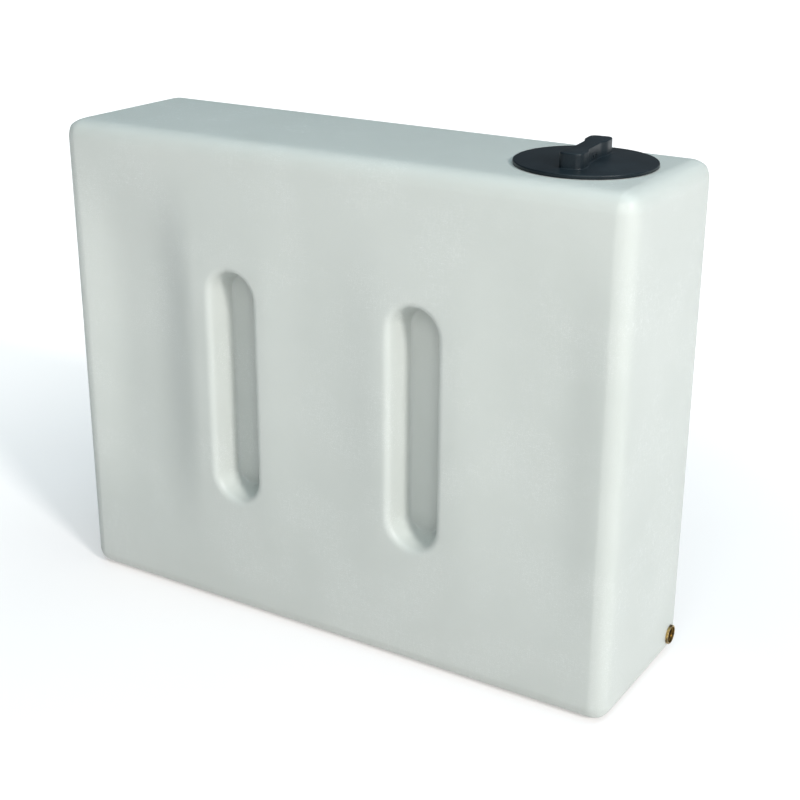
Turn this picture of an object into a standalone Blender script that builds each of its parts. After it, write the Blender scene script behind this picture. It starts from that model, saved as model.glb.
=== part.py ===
"""Upright fresh water tank.

A rotomoulded shell with two slot recesses in each long wall, a neck ring clamped into its top, a
screw lid with a splash vent under its grip, and a brass outlet socket low in one end.
Metres, +Z up. The origin is the middle of the base, and +X points to the outlet end.
"""

from math import cos, pi, radians, sin

import bmesh
import bpy

# Tank shell
LENGTH = 1.000
WIDTH = 0.290
HEIGHT = 0.800
WALL = 0.005
EDGE_R = 0.026
COLUMNS = 20                    # columns and rows of facets on each long wall
ROWS = 12

# The long walls are drawn in between the slots: middle of each bay, reach to its left and right, depth
BAYS = ((-0.370, 0.130, 0.135, 0.022), (0.000, 0.112, 0.112, 0.006), (0.375, 0.145, 0.105, 0.008))
BAY_Z = 0.480
BAY_REACH_DOWN = 0.430
BAY_REACH_UP = 0.290

# Slot recesses, two in each long wall
SLOT_X = 0.167
SLOT_Z = 0.400
SLOT_RUN = 0.305                # between the centres of the two round ends
SLOT_DEPTH = 0.046
SLOT_HALF = 0.052               # half width where the lip starts to turn in
SLOT_FLOOR_HALF = 0.028         # half width of the flat floor
SLOT_FILLET = 0.010

# Neck, with heights measured from the tank's top
LID_X = 0.361
NECK_HOLE_R = 0.080
REBATE_R = 0.099
REBATE_DEPTH = 0.006
RING_FLANGE_R = 0.0985
RING_FLANGE = 0.004
RING_TUBE_R = 0.0795
RING_BORE_R = 0.0757
RING_LENGTH = 0.022
BACK_RING = 0.005
SCREW_CIRCLE_R = 0.0890
SCREW_COUNT = 8
SCREW_R = 0.0025
SCREW_HEAD_R = 0.00475
SCREW_LENGTH = 0.0175

# Lid
FLANGE_R = 0.1025
LID_TOP = 0.006
LID_UNDER = 0.0018
RIM_FOOT = 0.0012
RIM_WIDTH = 0.0035
RIM_ROUND = 0.0015
SKIRT_R = 0.0725
SKIRT_BORE_R = 0.0695
SKIRT_FOOT = -0.021
SEAL_R = 0.0835
SEAL_BORE_R = 0.0765

# Screw thread of lid and neck ring
PITCH = 0.006
NECK_TURNS = 2.25
LID_TURNS = 1.75
NECK_THREAD_FOOT = -0.0185
NECK_CREST_R = 0.0732
LID_CREST_R = 0.0745
RIDGE_BASE = 0.0030
RIDGE_CREST = 0.0016
THREAD_ROOT = 0.0005            # how far the ridge is let into its wall
THREAD_START = 0.4              # share of its full height that the ridge starts and ends with

# Grip across the lid, a bar with broad ends and a narrow waist
GRIP_LENGTH = 0.140
GRIP_END_HALF = 0.0175
GRIP_WAIST_HALF = 0.0125
GRIP_TOP = 0.028
GRIP_SKIN = 0.0035
GRIP_CORNER_R = 0.010
GRIP_TURN = radians(6.0)
CHAMBER_HALF = 0.013            # the vent's air chamber in the middle of the grip
END_POCKET = 0.017              # where the pocket under each broad end starts

# Splash vent under the lid
BALL_R = 0.008
CAGE_BORE_R = 0.009
CAGE_R = 0.011
CAGE_FLOOR = -0.022
CAGE_FOOT = -0.024
CAGE_FLANGE_R = 0.024
SEAT_BORE_R = 0.0055
SEAT_R = 0.017
VENT_SCREW_R = 0.0015
VENT_SCREW_X = 0.0205

# Outlet socket
OUTLET_Y = 0.105
OUTLET_Z = 0.038
OUTLET_COLLAR_R = 0.0158
OUTLET_PROUD = 0.0040
OUTLET_BODY_R = 0.0150
OUTLET_BORE_R = 0.0122
OUTLET_BOSS_R = 0.0225
OUTLET_DEPTH = 0.026

GAP = 0.0003                    # left between pieces that touch
ROUND = 36                      # facets round the neck's large rings
SMALL_ROUND = 20

for old in list(bpy.data.objects):
    bpy.data.objects.remove(old, do_unlink=True)

tank_parts = bpy.data.collections.new("fresh_water_tank")
cutters = bpy.data.collections.new("cutters")
bpy.context.scene.collection.children.link(tank_parts)
bpy.context.scene.collection.children.link(cutters)


def finish(name, colour, roughness, metallic=0.0):
    """A plain material of one colour."""
    material = bpy.data.materials.new(name)
    material.use_nodes = True
    shader = material.node_tree.nodes["Principled BSDF"]
    shader.inputs["Base Color"].default_value = (*colour, 1.0)
    shader.inputs["Roughness"].default_value = roughness
    shader.inputs["Metallic"].default_value = metallic
    return material


natural_pe = finish("natural_polyethylene", (0.60, 0.64, 0.62), 0.45)
black_pp = finish("black_polypropylene", (0.012, 0.016, 0.020), 0.30)
black_ring_pp = finish("black_ring_polypropylene", (0.015, 0.016, 0.018), 0.45)
epdm = finish("epdm_rubber", (0.02, 0.02, 0.02), 0.75)
stainless = finish("stainless_steel", (0.62, 0.62, 0.60), 0.30, 1.0)
white_pp = finish("white_polypropylene", (0.80, 0.80, 0.78), 0.40)
brass = finish("brass", (0.72, 0.50, 0.18), 0.30, 1.0)

neck_axis = bpy.data.objects.new("neck_axis", None)
neck_axis.location = (LID_X, 0.0, HEIGHT)
tank_parts.objects.link(neck_axis)

outlet_axis = bpy.data.objects.new("outlet_axis", None)
outlet_axis.location = (LENGTH / 2, OUTLET_Y, OUTLET_Z)
outlet_axis.rotation_euler = (0.0, pi / 2, 0.0)
tank_parts.objects.link(outlet_axis)


def new_object(name, data, material=None, parent=None):
    """A visible part when it has a material, else a cutter."""
    part = bpy.data.objects.new(name, data)
    part.parent = parent
    if material:
        data.materials.append(material)
        tank_parts.objects.link(part)
    else:
        part.hide_render = True
        part.display_type = "WIRE"
        cutters.objects.link(part)
    return part


def turned(name, profile, material=None, parent=None, steps=ROUND, start=0.0):
    """A turned piece from a profile of (radius, height), which runs down its outer side.

    A profile that starts and ends on the axis stays open there; any other is closed.
    """
    mesh = bpy.data.meshes.new(name)
    points = [(r * cos(start), r * sin(start), z) for r, z in profile]
    edges = [(i, i + 1) for i in range(len(points) - 1)]
    if profile[0][0] > 0.0:
        edges.append((len(points) - 1, 0))
    mesh.from_pydata(points, edges, [])
    part = new_object(name, mesh, material, parent)
    screw = part.modifiers.new("turn", "SCREW")
    screw.steps = steps
    screw.render_steps = steps
    screw.use_merge_vertices = True
    screw.merge_threshold = 0.00001
    return part


def applied(part):
    """The same piece as a plain mesh."""
    bpy.context.view_layer.update()
    graph = bpy.context.evaluated_depsgraph_get()
    mesh = bpy.data.meshes.new_from_object(part.evaluated_get(graph))
    name = part.name
    parent = part.parent
    place = part.matrix_local.copy()
    bpy.data.objects.remove(part)
    shape = bmesh.new()
    shape.from_mesh(mesh)
    bmesh.ops.remove_doubles(shape, verts=shape.verts, dist=0.00001)
    bmesh.ops.recalc_face_normals(shape, faces=shape.faces)
    shape.to_mesh(mesh)
    shape.free()
    plain = new_object(name, mesh, None, parent)
    plain.matrix_local = place
    return plain


def slab(name, outline, low, high, parent=None):
    """A flat outline extruded from one height to another."""
    curve = bpy.data.curves.new(name, "CURVE")
    curve.dimensions = "2D"
    curve.fill_mode = "BOTH"
    curve.extrude = (high - low) / 2
    spline = curve.splines.new("POLY")
    spline.points.add(len(outline) - 1)
    for point, (x, y) in zip(spline.points, outline):
        point.co = (x, y, 0.0, 1.0)
    spline.use_cyclic_u = True
    part = new_object(name, curve, None, parent)
    part.location.z = (low + high) / 2
    return applied(part)


def box(name, low, high, parent=None):
    """A box from its lowest to its highest corner."""
    shape = bmesh.new()
    bmesh.ops.create_cube(shape, size=1.0)
    for vertex in shape.verts:
        for i in range(3):
            vertex.co[i] = low[i] if vertex.co[i] < 0.0 else high[i]
    mesh = bpy.data.meshes.new(name)
    shape.to_mesh(mesh)
    shape.free()
    return new_object(name, mesh, None, parent)


def combine(part, tool, operation="DIFFERENCE"):
    """Cut the tool from the part, or join it to the part."""
    change = part.modifiers.new(tool.name, "BOOLEAN")
    change.operation = operation
    change.object = tool
    change.solver = "EXACT"
    tool.hide_render = True
    tool.display_type = "WIRE"


def copies(name, pattern, places, parent=None):
    """One tool made of the same shape at several places, each (x, y, z, turn about Z)."""
    shape = bmesh.new()
    for x, y, z, turn in places:
        first = len(shape.verts)
        shape.from_mesh(pattern.data)
        shape.verts.ensure_lookup_table()
        for vertex in shape.verts[first:]:
            px, py, pz = pattern.matrix_local @ vertex.co
            vertex.co = (x + px * cos(turn) - py * sin(turn), y + px * sin(turn) + py * cos(turn), z + pz)
    mesh = bpy.data.meshes.new(name)
    shape.to_mesh(mesh)
    shape.free()
    bpy.data.objects.remove(pattern)
    return new_object(name, mesh, None, parent)


def arc(centre_r, centre_z, radius, first, last, steps):
    """Profile points along an arc, angles in degrees."""
    turns = [radians(first + (last - first) * i / steps) for i in range(steps + 1)]
    return [(centre_r + radius * cos(a), centre_z + radius * sin(a)) for a in turns]


# ---------------------------------------------------------------- tank shell

def window(offset, before, after):
    """1 in the middle of a bay, fading smoothly to 0 at its two edges."""
    share = abs(offset) / (before if offset < 0 else after)
    return 0.0 if share >= 1 else cos(0.5 * pi * share ** 1.5) ** 2


def sag(x, z):
    """How far a long wall is drawn in at a place."""
    across = sum(depth * window(x - middle, before, after) for middle, before, after, depth in BAYS)
    return across * window(z - BAY_Z, BAY_REACH_DOWN, BAY_REACH_UP)


def tank_form(name, inset, edge_steps, material=None):
    """The tank's outer form, or with an inset the form of its cavity."""
    part = box(name, (-LENGTH / 2 + inset, -WIDTH / 2 + inset, inset),
               (LENGTH / 2 - inset, WIDTH / 2 - inset, HEIGHT - inset))
    shape = bmesh.new()
    shape.from_mesh(part.data)
    lines = [((LENGTH * (i / COLUMNS - 0.5), 0, 0), (1, 0, 0)) for i in range(1, COLUMNS)]
    lines += [((0, 0, HEIGHT * i / ROWS), (0, 0, 1)) for i in range(1, ROWS)]
    for point, normal in lines:
        everything = shape.verts[:] + shape.edges[:] + shape.faces[:]
        bmesh.ops.bisect_plane(shape, geom=everything, plane_co=point, plane_no=normal)
    for vertex in shape.verts:
        x, y, z = vertex.co
        vertex.co.y -= sag(x, z) * (1 if y > 0 else -1)
    shape.to_mesh(part.data)
    shape.free()
    if material:
        cutters.objects.unlink(part)
        tank_parts.objects.link(part)
        part.data.materials.append(material)
        part.hide_render = False
        part.display_type = "TEXTURED"
    bevel = part.modifiers.new("moulded_edges", "BEVEL")
    bevel.width = EDGE_R - inset
    bevel.segments = edge_steps
    bevel.limit_method = "ANGLE"
    bevel.angle_limit = radians(60)
    return part


def slot_tool(name, grow):
    """The four slots as one tool; grow thickens them by the wall for the cavity's side."""
    lip_r = SLOT_FILLET - grow
    floor_r = SLOT_FILLET + grow
    lip = arc(SLOT_HALF, -SLOT_FILLET, lip_r, 80, 180, 2)
    floor = arc(SLOT_FLOOR_HALF, -SLOT_DEPTH + SLOT_FILLET, floor_r, 0, -90, 2)
    above = 0.010
    profile = [(0.0, above), (lip[0][0], above)] + lip + floor + [(0.0, floor[-1][1])]
    steps = SMALL_ROUND
    dish = applied(turned(name + "_dish", profile, steps=steps, start=pi / steps))
    for vertex in dish.data.vertices:
        if abs(vertex.co.y) > 0.0001:
            vertex.co.y += SLOT_RUN / 2 if vertex.co.y > 0 else -SLOT_RUN / 2
    tool = bmesh.new()
    for side in (-1, 1):
        for x in (-SLOT_X, SLOT_X):
            first = len(tool.verts)
            tool.from_mesh(dish.data)
            tool.verts.ensure_lookup_table()
            for vertex in tool.verts[first:]:
                along, up, out = vertex.co
                vertex.co = (x - side * along, side * (WIDTH / 2 + out), SLOT_Z + up)
    mesh = bpy.data.meshes.new(name)
    tool.to_mesh(mesh)
    tool.free()
    bpy.data.objects.remove(dish)
    return new_object(name, mesh)


cavity = tank_form("cavity", WALL, 3)
combine(cavity, slot_tool("slot_backs", WALL))
step = turned("rebate_back", [(0.0, 0.0), (REBATE_R + WALL, 0.0), (REBATE_R + WALL, -REBATE_DEPTH - WALL),
                              (0.0, -REBATE_DEPTH - WALL)], parent=neck_axis)
combine(cavity, step)
boss = turned("outlet_boss", [(0.0, 0.0), (OUTLET_BOSS_R, 0.0), (OUTLET_BOSS_R, -OUTLET_DEPTH - 0.004),
                              (0.0, -OUTLET_DEPTH - 0.004)], parent=outlet_axis, steps=SMALL_ROUND)
combine(cavity, boss)

tank_shell = tank_form("tank_shell", 0.0, 4, natural_pe)
combine(tank_shell, slot_tool("slots", 0.0))
combine(tank_shell, cavity)
neck_plug = turned("neck_plug", [(0.0, 0.010), (REBATE_R, 0.010), (REBATE_R, -REBATE_DEPTH),
                                 (NECK_HOLE_R, -REBATE_DEPTH), (NECK_HOLE_R, -0.030), (0.0, -0.030)],
                   parent=neck_axis)
combine(tank_shell, neck_plug)
outlet_hole = turned("outlet_hole", [(0.0, 0.010), (OUTLET_BODY_R + GAP, 0.010),
                                     (OUTLET_BODY_R + GAP, -0.040), (0.0, -0.040)],
                     parent=outlet_axis, steps=SMALL_ROUND)
combine(tank_shell, outlet_hole)


# ---------------------------------------------------------------- neck ring, gasket, back ring, screws

def thread(name, wall_r, crest_r, foot, turns):
    """A right-hand ridge wound round the neck axis; it fades in and out at its ends."""
    root_r = wall_r - THREAD_ROOT if crest_r > wall_r else wall_r + THREAD_ROOT
    steps = round(turns * ROUND)
    fade = 5
    shape = bmesh.new()
    rings = []
    for i in range(steps + 1):
        grown = max(THREAD_START, min(1.0, i / fade, (steps - i) / fade))
        top_r = root_r + (crest_r - root_r) * grown
        angle = 2 * pi * turns * i / steps
        z = foot + PITCH * turns * i / steps
        section = ((root_r, z - RIDGE_BASE / 2), (top_r, z - RIDGE_CREST / 2),
                   (top_r, z + RIDGE_CREST / 2), (root_r, z + RIDGE_BASE / 2))
        rings.append([shape.verts.new((r * cos(angle), r * sin(angle), h)) for r, h in section])
    for ring, after in zip(rings, rings[1:]):
        for j in range(4):
            k = (j + 1) % 4
            shape.faces.new((ring[j], ring[k], after[k], after[j]))
    shape.faces.new(rings[0])
    shape.faces.new(rings[-1])
    bmesh.ops.recalc_face_normals(shape, faces=shape.faces)
    mesh = bpy.data.meshes.new(name)
    shape.to_mesh(mesh)
    shape.free()
    return new_object(name, mesh, None, neck_axis)


gasket_top = -RING_FLANGE - GAP
gasket_foot = -REBATE_DEPTH + GAP
back_top = -REBATE_DEPTH - WALL - GAP
back_foot = back_top - BACK_RING

neck_ring = turned("neck_ring", [(RING_FLANGE_R, 0.0), (RING_FLANGE_R, -RING_FLANGE),
                                 (RING_TUBE_R, -RING_FLANGE), (RING_TUBE_R, -RING_LENGTH),
                                 (RING_BORE_R, -RING_LENGTH), (RING_BORE_R, 0.0)],
                   black_ring_pp, neck_axis)
combine(neck_ring, thread("neck_thread", RING_BORE_R, NECK_CREST_R, NECK_THREAD_FOOT, NECK_TURNS), "UNION")
neck_gasket = turned("neck_gasket", [(RING_FLANGE_R, gasket_top), (RING_FLANGE_R, gasket_foot),
                                     (NECK_HOLE_R + GAP, gasket_foot), (NECK_HOLE_R + GAP, gasket_top)],
                     epdm, neck_axis)
neck_back_ring = turned("neck_back_ring", [(RING_FLANGE_R - 0.001, back_top),
                                           (RING_FLANGE_R - 0.001, back_foot),
                                           (NECK_HOLE_R + GAP, back_foot), (NECK_HOLE_R + GAP, back_top)],
                        black_ring_pp, neck_axis)

screw_angles = [2 * pi * i / SCREW_COUNT for i in range(SCREW_COUNT)]
screw_places = [(SCREW_CIRCLE_R * cos(a), SCREW_CIRCLE_R * sin(a), 0.0, 0.0) for a in screw_angles]
screw_steps = 12
countersink = 0.0027
head_rim = 0.0006
bore = applied(turned("screw_bore", [(0.0, 0.002), (SCREW_HEAD_R + GAP, 0.002),
                                     (SCREW_HEAD_R + GAP, -head_rim), (SCREW_R + GAP, -countersink),
                                     (SCREW_R + GAP, -0.030), (0.0, -0.030)], steps=screw_steps))
screw_bores = copies("screw_bores", bore, screw_places, neck_axis)
for clamped in (tank_shell, neck_ring, neck_gasket, neck_back_ring):
    combine(clamped, screw_bores)

screw_pattern = turned("ring_screw_pattern", [(0.0, -0.0002), (SCREW_HEAD_R, -0.0002),
                                              (SCREW_HEAD_R, -head_rim), (SCREW_R, -countersink),
                                              (SCREW_R, -SCREW_LENGTH), (0.0, -SCREW_LENGTH)],
                       steps=screw_steps)
socket = turned("hex_socket", [(0.0, 0.001), (0.0018, 0.001), (0.0018, -0.0016), (0.0, -0.0016)], steps=6)
combine(screw_pattern, socket)
screw_mesh = applied(screw_pattern).data
screw_mesh.materials.append(stainless)
for i, (x, y, z, turn) in enumerate(screw_places):
    ring_screw = bpy.data.objects.new(f"ring_screw_{i + 1}", screw_mesh)
    ring_screw.location = (x, y, z)
    ring_screw.parent = neck_axis
    tank_parts.objects.link(ring_screw)
bpy.data.objects.remove(bpy.data.objects["ring_screw_pattern"])


# ---------------------------------------------------------------- lid, its threaded skirt and its seal

def grip_half_width(along):
    """Half the grip's width at a place along it: waist in the middle, broad at the ends."""
    blend = min(1.0, max(0.0, (abs(along) - 0.024) / 0.020))
    return GRIP_WAIST_HALF + (GRIP_END_HALF - GRIP_WAIST_HALF) * blend * blend * (3 - 2 * blend)


def grip_outline(first, last, inset):
    """The grip's outline between two places along it; an end at full length gets round corners."""
    end = GRIP_LENGTH / 2 - inset
    corner = GRIP_CORNER_R - inset
    side = []
    for i in range(13):
        y = first + (last - first) * i / 12
        if abs(y) <= end - corner:
            side.append((grip_half_width(y) - inset, y))
    if last >= end:
        half = GRIP_END_HALF - inset
        side += [(half - corner + corner * cos(a), end - corner + corner * sin(a))
                 for a in (0.5 * pi * i / 3 for i in range(4))]
    if first <= -end:
        half = GRIP_END_HALF - inset
        side = [(half - corner + corner * sin(a), -end + corner - corner * cos(a))
                for a in (0.5 * pi * i / 3 for i in range(4))] + side
    return side + [(-x, y) for x, y in reversed(side)]


grip_axis = bpy.data.objects.new("grip_axis", None)
grip_axis.parent = neck_axis
grip_axis.rotation_euler = (0.0, 0.0, GRIP_TURN)
tank_parts.objects.link(grip_axis)

lid = turned("lid", [(0.0, LID_TOP), (FLANGE_R - RIM_ROUND, LID_TOP), (FLANGE_R, LID_TOP - RIM_ROUND),
                     (FLANGE_R, RIM_FOOT), (FLANGE_R - RIM_WIDTH, RIM_FOOT),
                     (FLANGE_R - RIM_WIDTH, LID_UNDER), (0.0, LID_UNDER)], black_pp, neck_axis)
skirt_top = LID_UNDER - GAP
lid_skirt = turned("lid_skirt", [(SKIRT_R, skirt_top), (SKIRT_R, SKIRT_FOOT), (SKIRT_BORE_R, SKIRT_FOOT),
                                 (SKIRT_BORE_R, skirt_top)], black_pp, neck_axis, start=pi / ROUND)
lid_thread_foot = NECK_THREAD_FOOT + PITCH / 2
combine(lid_skirt, thread("lid_thread", SKIRT_R, LID_CREST_R, lid_thread_foot, LID_TURNS), "UNION")

half_grip = GRIP_LENGTH / 2
grip = slab("grip", grip_outline(-half_grip, half_grip, 0.0), LID_TOP - 0.001, GRIP_TOP, grip_axis)
soften = grip.modifiers.new("soft_edges", "BEVEL")
soften.width = 0.003
soften.segments = 2
soften.limit_method = "ANGLE"
soften.angle_limit = radians(60)
combine(lid, grip, "UNION")
pocket_foot = LID_UNDER - 0.002
pocket_top = GRIP_TOP - GRIP_SKIN
chamber_half_width = GRIP_WAIST_HALF - GRIP_SKIN
chamber = box("vent_chamber", (-chamber_half_width, -CHAMBER_HALF, pocket_foot),
              (chamber_half_width, CHAMBER_HALF, pocket_top), grip_axis)
combine(lid, chamber)
for name, turn in (("back_pocket", 0.0), ("front_pocket", pi)):
    pocket = slab(name, grip_outline(END_POCKET, half_grip - GRIP_SKIN, GRIP_SKIN), pocket_foot, pocket_top,
                  grip_axis)
    pocket.rotation_euler.z = turn
    combine(lid, pocket)

breather = turned("breather_hole", [(0.0, 0.025), (0.002, 0.025), (0.002, -0.025), (0.0, -0.025)], steps=12)
breather.rotation_euler = (0.0, pi / 2, 0.0)
breather = applied(breather)
breather_places = [(0.0, y, 0.013, 0.0) for y in (-0.006, 0.006)]
breather_holes = copies("breather_holes", breather, breather_places, grip_axis)
combine(lid, breather_holes)

lid_seal = turned("lid_seal", [(SEAL_R, skirt_top), (SEAL_R, GAP), (SEAL_BORE_R, GAP),
                               (SEAL_BORE_R, skirt_top)], epdm, neck_axis)


# ---------------------------------------------------------------- splash vent

screen_top = LID_UNDER - GAP
screen_foot = screen_top - 0.0008
seat_top = screen_foot - GAP
seat_foot = seat_top - 0.0020
cage_shelf = seat_foot - GAP
vent_screen = turned("vent_screen", [(0.0, screen_top), (SEAT_R, screen_top), (SEAT_R, screen_foot),
                                     (0.0, screen_foot)], stainless, neck_axis, SMALL_ROUND)
vent_seat = turned("vent_seat", [(SEAT_R, seat_top), (SEAT_R, seat_foot), (SEAT_BORE_R, seat_foot),
                                 (SEAT_BORE_R, seat_top)], epdm, neck_axis, SMALL_ROUND)
vent_cage = turned("vent_cage", [(CAGE_FLANGE_R, screen_top), (CAGE_FLANGE_R, cage_shelf - 0.0025),
                                 (CAGE_R, cage_shelf - 0.0025), (CAGE_R, CAGE_FOOT), (0.0035, CAGE_FOOT),
                                 (0.0035, CAGE_FLOOR), (CAGE_BORE_R, CAGE_FLOOR),
                                 (CAGE_BORE_R, cage_shelf), (SEAT_R + GAP, cage_shelf),
                                 (SEAT_R + GAP, screen_top)], white_pp, neck_axis, SMALL_ROUND)
for name, low, high in (("windows_x", (-0.020, -0.003, -0.019), (0.020, 0.003, -0.008)),
                        ("windows_y", (-0.003, -0.020, -0.019), (0.003, 0.020, -0.008))):
    combine(vent_cage, box(name, low, high, neck_axis))

vent_ball = turned("vent_ball", arc(0.0, 0.0, BALL_R, 90, -90, 10), white_pp, neck_axis, SMALL_ROUND)
vent_ball.location.z = CAGE_FLOOR + GAP + BALL_R

vent_bore = applied(turned("vent_screw_bore", [(0.0, 0.0045), (VENT_SCREW_R + GAP, 0.0045),
                                               (VENT_SCREW_R + GAP, -0.010), (0.0, -0.010)], steps=10))
vent_places = [(x, 0.0, 0.0, 0.0) for x in (VENT_SCREW_X, -VENT_SCREW_X)]
vent_bores = copies("vent_screw_bores", vent_bore, vent_places, neck_axis)
combine(vent_cage, vent_bores)
combine(lid, vent_bores)
for i, x in enumerate((VENT_SCREW_X, -VENT_SCREW_X)):
    head_top = cage_shelf - 0.0025 - GAP
    vent_screw = turned(f"vent_screw_{i + 1}", [(0.0, 0.004), (VENT_SCREW_R, 0.004), (VENT_SCREW_R, head_top),
                                                (0.0028, head_top), (0.0028, head_top - 0.0012),
                                                (0.0018, head_top - 0.0020), (0.0, head_top - 0.0020)],
                        stainless, neck_axis, 10)
    vent_screw.location.x = x


# ---------------------------------------------------------------- outlet socket

collar_chamfer = 0.0008
outlet_insert = turned("outlet_insert", [(OUTLET_COLLAR_R - collar_chamfer, OUTLET_PROUD),
                                         (OUTLET_COLLAR_R, OUTLET_PROUD - collar_chamfer),
                                         (OUTLET_COLLAR_R, GAP), (OUTLET_BODY_R, GAP),
                                         (OUTLET_BODY_R, -0.007), (OUTLET_BODY_R - 0.0012, -0.008),
                                         (OUTLET_BODY_R - 0.0012, -0.016), (OUTLET_BODY_R, -0.017),
                                         (OUTLET_BODY_R, -OUTLET_DEPTH), (OUTLET_BORE_R, -OUTLET_DEPTH),
                                         (OUTLET_BORE_R, OUTLET_PROUD - 0.0012),
                                         (OUTLET_BORE_R + 0.0012, OUTLET_PROUD)],
                       brass, outlet_axis, SMALL_ROUND + 4)
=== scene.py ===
# Upright fresh water tank: the looks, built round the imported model. Metres, +Z up.
from math import cos, pi, radians, sin

import bmesh
import bpy
from mathutils import Matrix, Vector


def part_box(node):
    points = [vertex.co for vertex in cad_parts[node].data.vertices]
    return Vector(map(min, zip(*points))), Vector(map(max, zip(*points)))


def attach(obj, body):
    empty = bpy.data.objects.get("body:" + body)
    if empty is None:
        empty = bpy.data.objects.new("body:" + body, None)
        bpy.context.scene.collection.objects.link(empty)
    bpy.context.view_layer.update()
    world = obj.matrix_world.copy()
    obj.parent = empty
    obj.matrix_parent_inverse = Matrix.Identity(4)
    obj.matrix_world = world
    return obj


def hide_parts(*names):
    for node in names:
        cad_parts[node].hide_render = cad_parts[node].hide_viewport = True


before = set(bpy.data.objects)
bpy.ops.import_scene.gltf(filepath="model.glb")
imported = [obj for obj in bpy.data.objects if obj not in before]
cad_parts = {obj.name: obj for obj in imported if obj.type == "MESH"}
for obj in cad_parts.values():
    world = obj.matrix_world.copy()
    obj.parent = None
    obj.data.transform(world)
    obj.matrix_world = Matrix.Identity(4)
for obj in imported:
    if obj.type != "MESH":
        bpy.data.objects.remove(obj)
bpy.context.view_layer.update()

scene = bpy.context.scene

# ---------------------------------------------------------------- Camera
# It stands off the outlet end of the front long wall, a little above the lid, and looks down on the
# tank with a moderate lens, so that the front, the outlet end and the top all show.
EYE = Vector((1.2045, -1.8576, 1.2306))
LOOK_AZIMUTH = radians(31.707)
LOOK_DOWN = radians(21.239)
ROLL = radians(0.259)

camera_data = bpy.data.cameras.new("camera")
camera_data.lens = 65.6
camera_data.sensor_width = 36.0
camera = bpy.data.objects.new("camera", camera_data)
scene.collection.objects.link(camera)
scene.camera = camera
back = Vector((sin(LOOK_AZIMUTH) * cos(LOOK_DOWN), -cos(LOOK_AZIMUTH) * cos(LOOK_DOWN), sin(LOOK_DOWN)))
level_right = Vector((cos(LOOK_AZIMUTH), sin(LOOK_AZIMUTH), 0.0))
level_up = back.cross(level_right)
right = level_right * cos(ROLL) + level_up * sin(ROLL)
up = level_up * cos(ROLL) - level_right * sin(ROLL)
camera.matrix_world = Matrix.Translation(EYE) @ Matrix((right, up, back)).transposed().to_4x4()

# ---------------------------------------------------------------- Floor and light
# A pale matt studio floor that glows a little more away from the tank, and an overcast sky, bluer
# overhead and dark at the plain end. A sun stands off the outlet end, a broad dim one overhead, and a
# weak panel over the front.


def new_material(name):
    """An empty node material: its nodes, its links and its Principled shader."""
    material = bpy.data.materials.new(name)
    material.use_nodes = True
    nodes = material.node_tree.nodes
    return material, nodes, material.node_tree.links, nodes["Principled BSDF"]


def ramp(nodes, links, factor, stops):
    """A colour ramp over a factor; stops are (position, colour)."""
    node = nodes.new("ShaderNodeValToRGB")
    elements = node.color_ramp.elements
    while len(elements) < len(stops):
        elements.new(0.5)
    for element, (position, colour) in zip(elements, stops):
        element.position = position
        element.color = (*colour, 1.0)
    links.new(factor, node.inputs["Fac"])
    return node.outputs["Color"]


floor_mesh = bpy.data.meshes.new("studio_floor")
floor_shape = bmesh.new()
bmesh.ops.create_grid(floor_shape, x_segments=4, y_segments=4, size=40.0)
floor_shape.to_mesh(floor_mesh)
floor_shape.free()
floor = bpy.data.objects.new("studio_floor", floor_mesh)
floor.location.z = -0.0005
scene.collection.objects.link(floor)
floor_paint, nodes, links, shader = new_material("studio_floor_paint")
place = nodes.new("ShaderNodeTexCoord")
cloud = nodes.new("ShaderNodeTexNoise")
cloud.inputs["Scale"].default_value = 3.0
links.new(place.outputs["Object"], cloud.inputs["Vector"])
links.new(ramp(nodes, links, cloud.outputs["Fac"], [(0.0, (0.47, 0.46, 0.46)), (1.0, (0.50, 0.49, 0.49))]),
          shader.inputs["Base Color"])
distance = nodes.new("ShaderNodeVectorMath")
distance.operation = "LENGTH"
links.new(place.outputs["Object"], distance.inputs[0])
glow = nodes.new("ShaderNodeMapRange")
glow.interpolation_type = "SMOOTHSTEP"
glow.inputs["From Min"].default_value = 0.55
glow.inputs["From Max"].default_value = 1.7
glow.inputs["To Min"].default_value = 0.42
glow.inputs["To Max"].default_value = 0.70
links.new(distance.outputs["Value"], glow.inputs["Value"])
links.new(glow.outputs["Result"], shader.inputs["Emission Strength"])
shader.inputs["Emission Color"].default_value = (1.0, 0.98, 0.96, 1.0)
shader.inputs["Roughness"].default_value = 0.9
shader.inputs["Specular IOR Level"].default_value = 0.1
floor_mesh.materials.append(floor_paint)

sky = bpy.data.worlds.new("overcast_sky")
sky.use_nodes = True
nodes, links = sky.node_tree.nodes, sky.node_tree.links
place = nodes.new("ShaderNodeTexCoord")
split = nodes.new("ShaderNodeSeparateXYZ")
links.new(place.outputs["Generated"], split.inputs["Vector"])
height = ramp(nodes, links, split.outputs["Z"], [(0.0, (0.40, 0.42, 0.43)), (0.35, (0.47, 0.51, 0.56)),
                                                 (1.0, (0.56, 0.78, 0.98))])
shift = nodes.new("ShaderNodeMapRange")
shift.inputs["From Min"].default_value = -1.0
shift.inputs["To Min"].default_value = 0.0
shift.inputs["To Max"].default_value = 0.75
links.new(split.outputs["X"], shift.inputs["Value"])
links.new(height, nodes["Background"].inputs["Color"])
ray = nodes.new("ShaderNodeLightPath")
backdrop = nodes.new("ShaderNodeMath")
backdrop.operation = "MULTIPLY_ADD"
backdrop.inputs[1].default_value = 2.0
links.new(ray.outputs["Is Camera Ray"], backdrop.inputs[0])
links.new(shift.outputs["Result"], backdrop.inputs[2])
links.new(backdrop.outputs["Value"], nodes["Background"].inputs["Strength"])
scene.world = sky
scene.view_settings.view_transform = "Standard"


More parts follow.
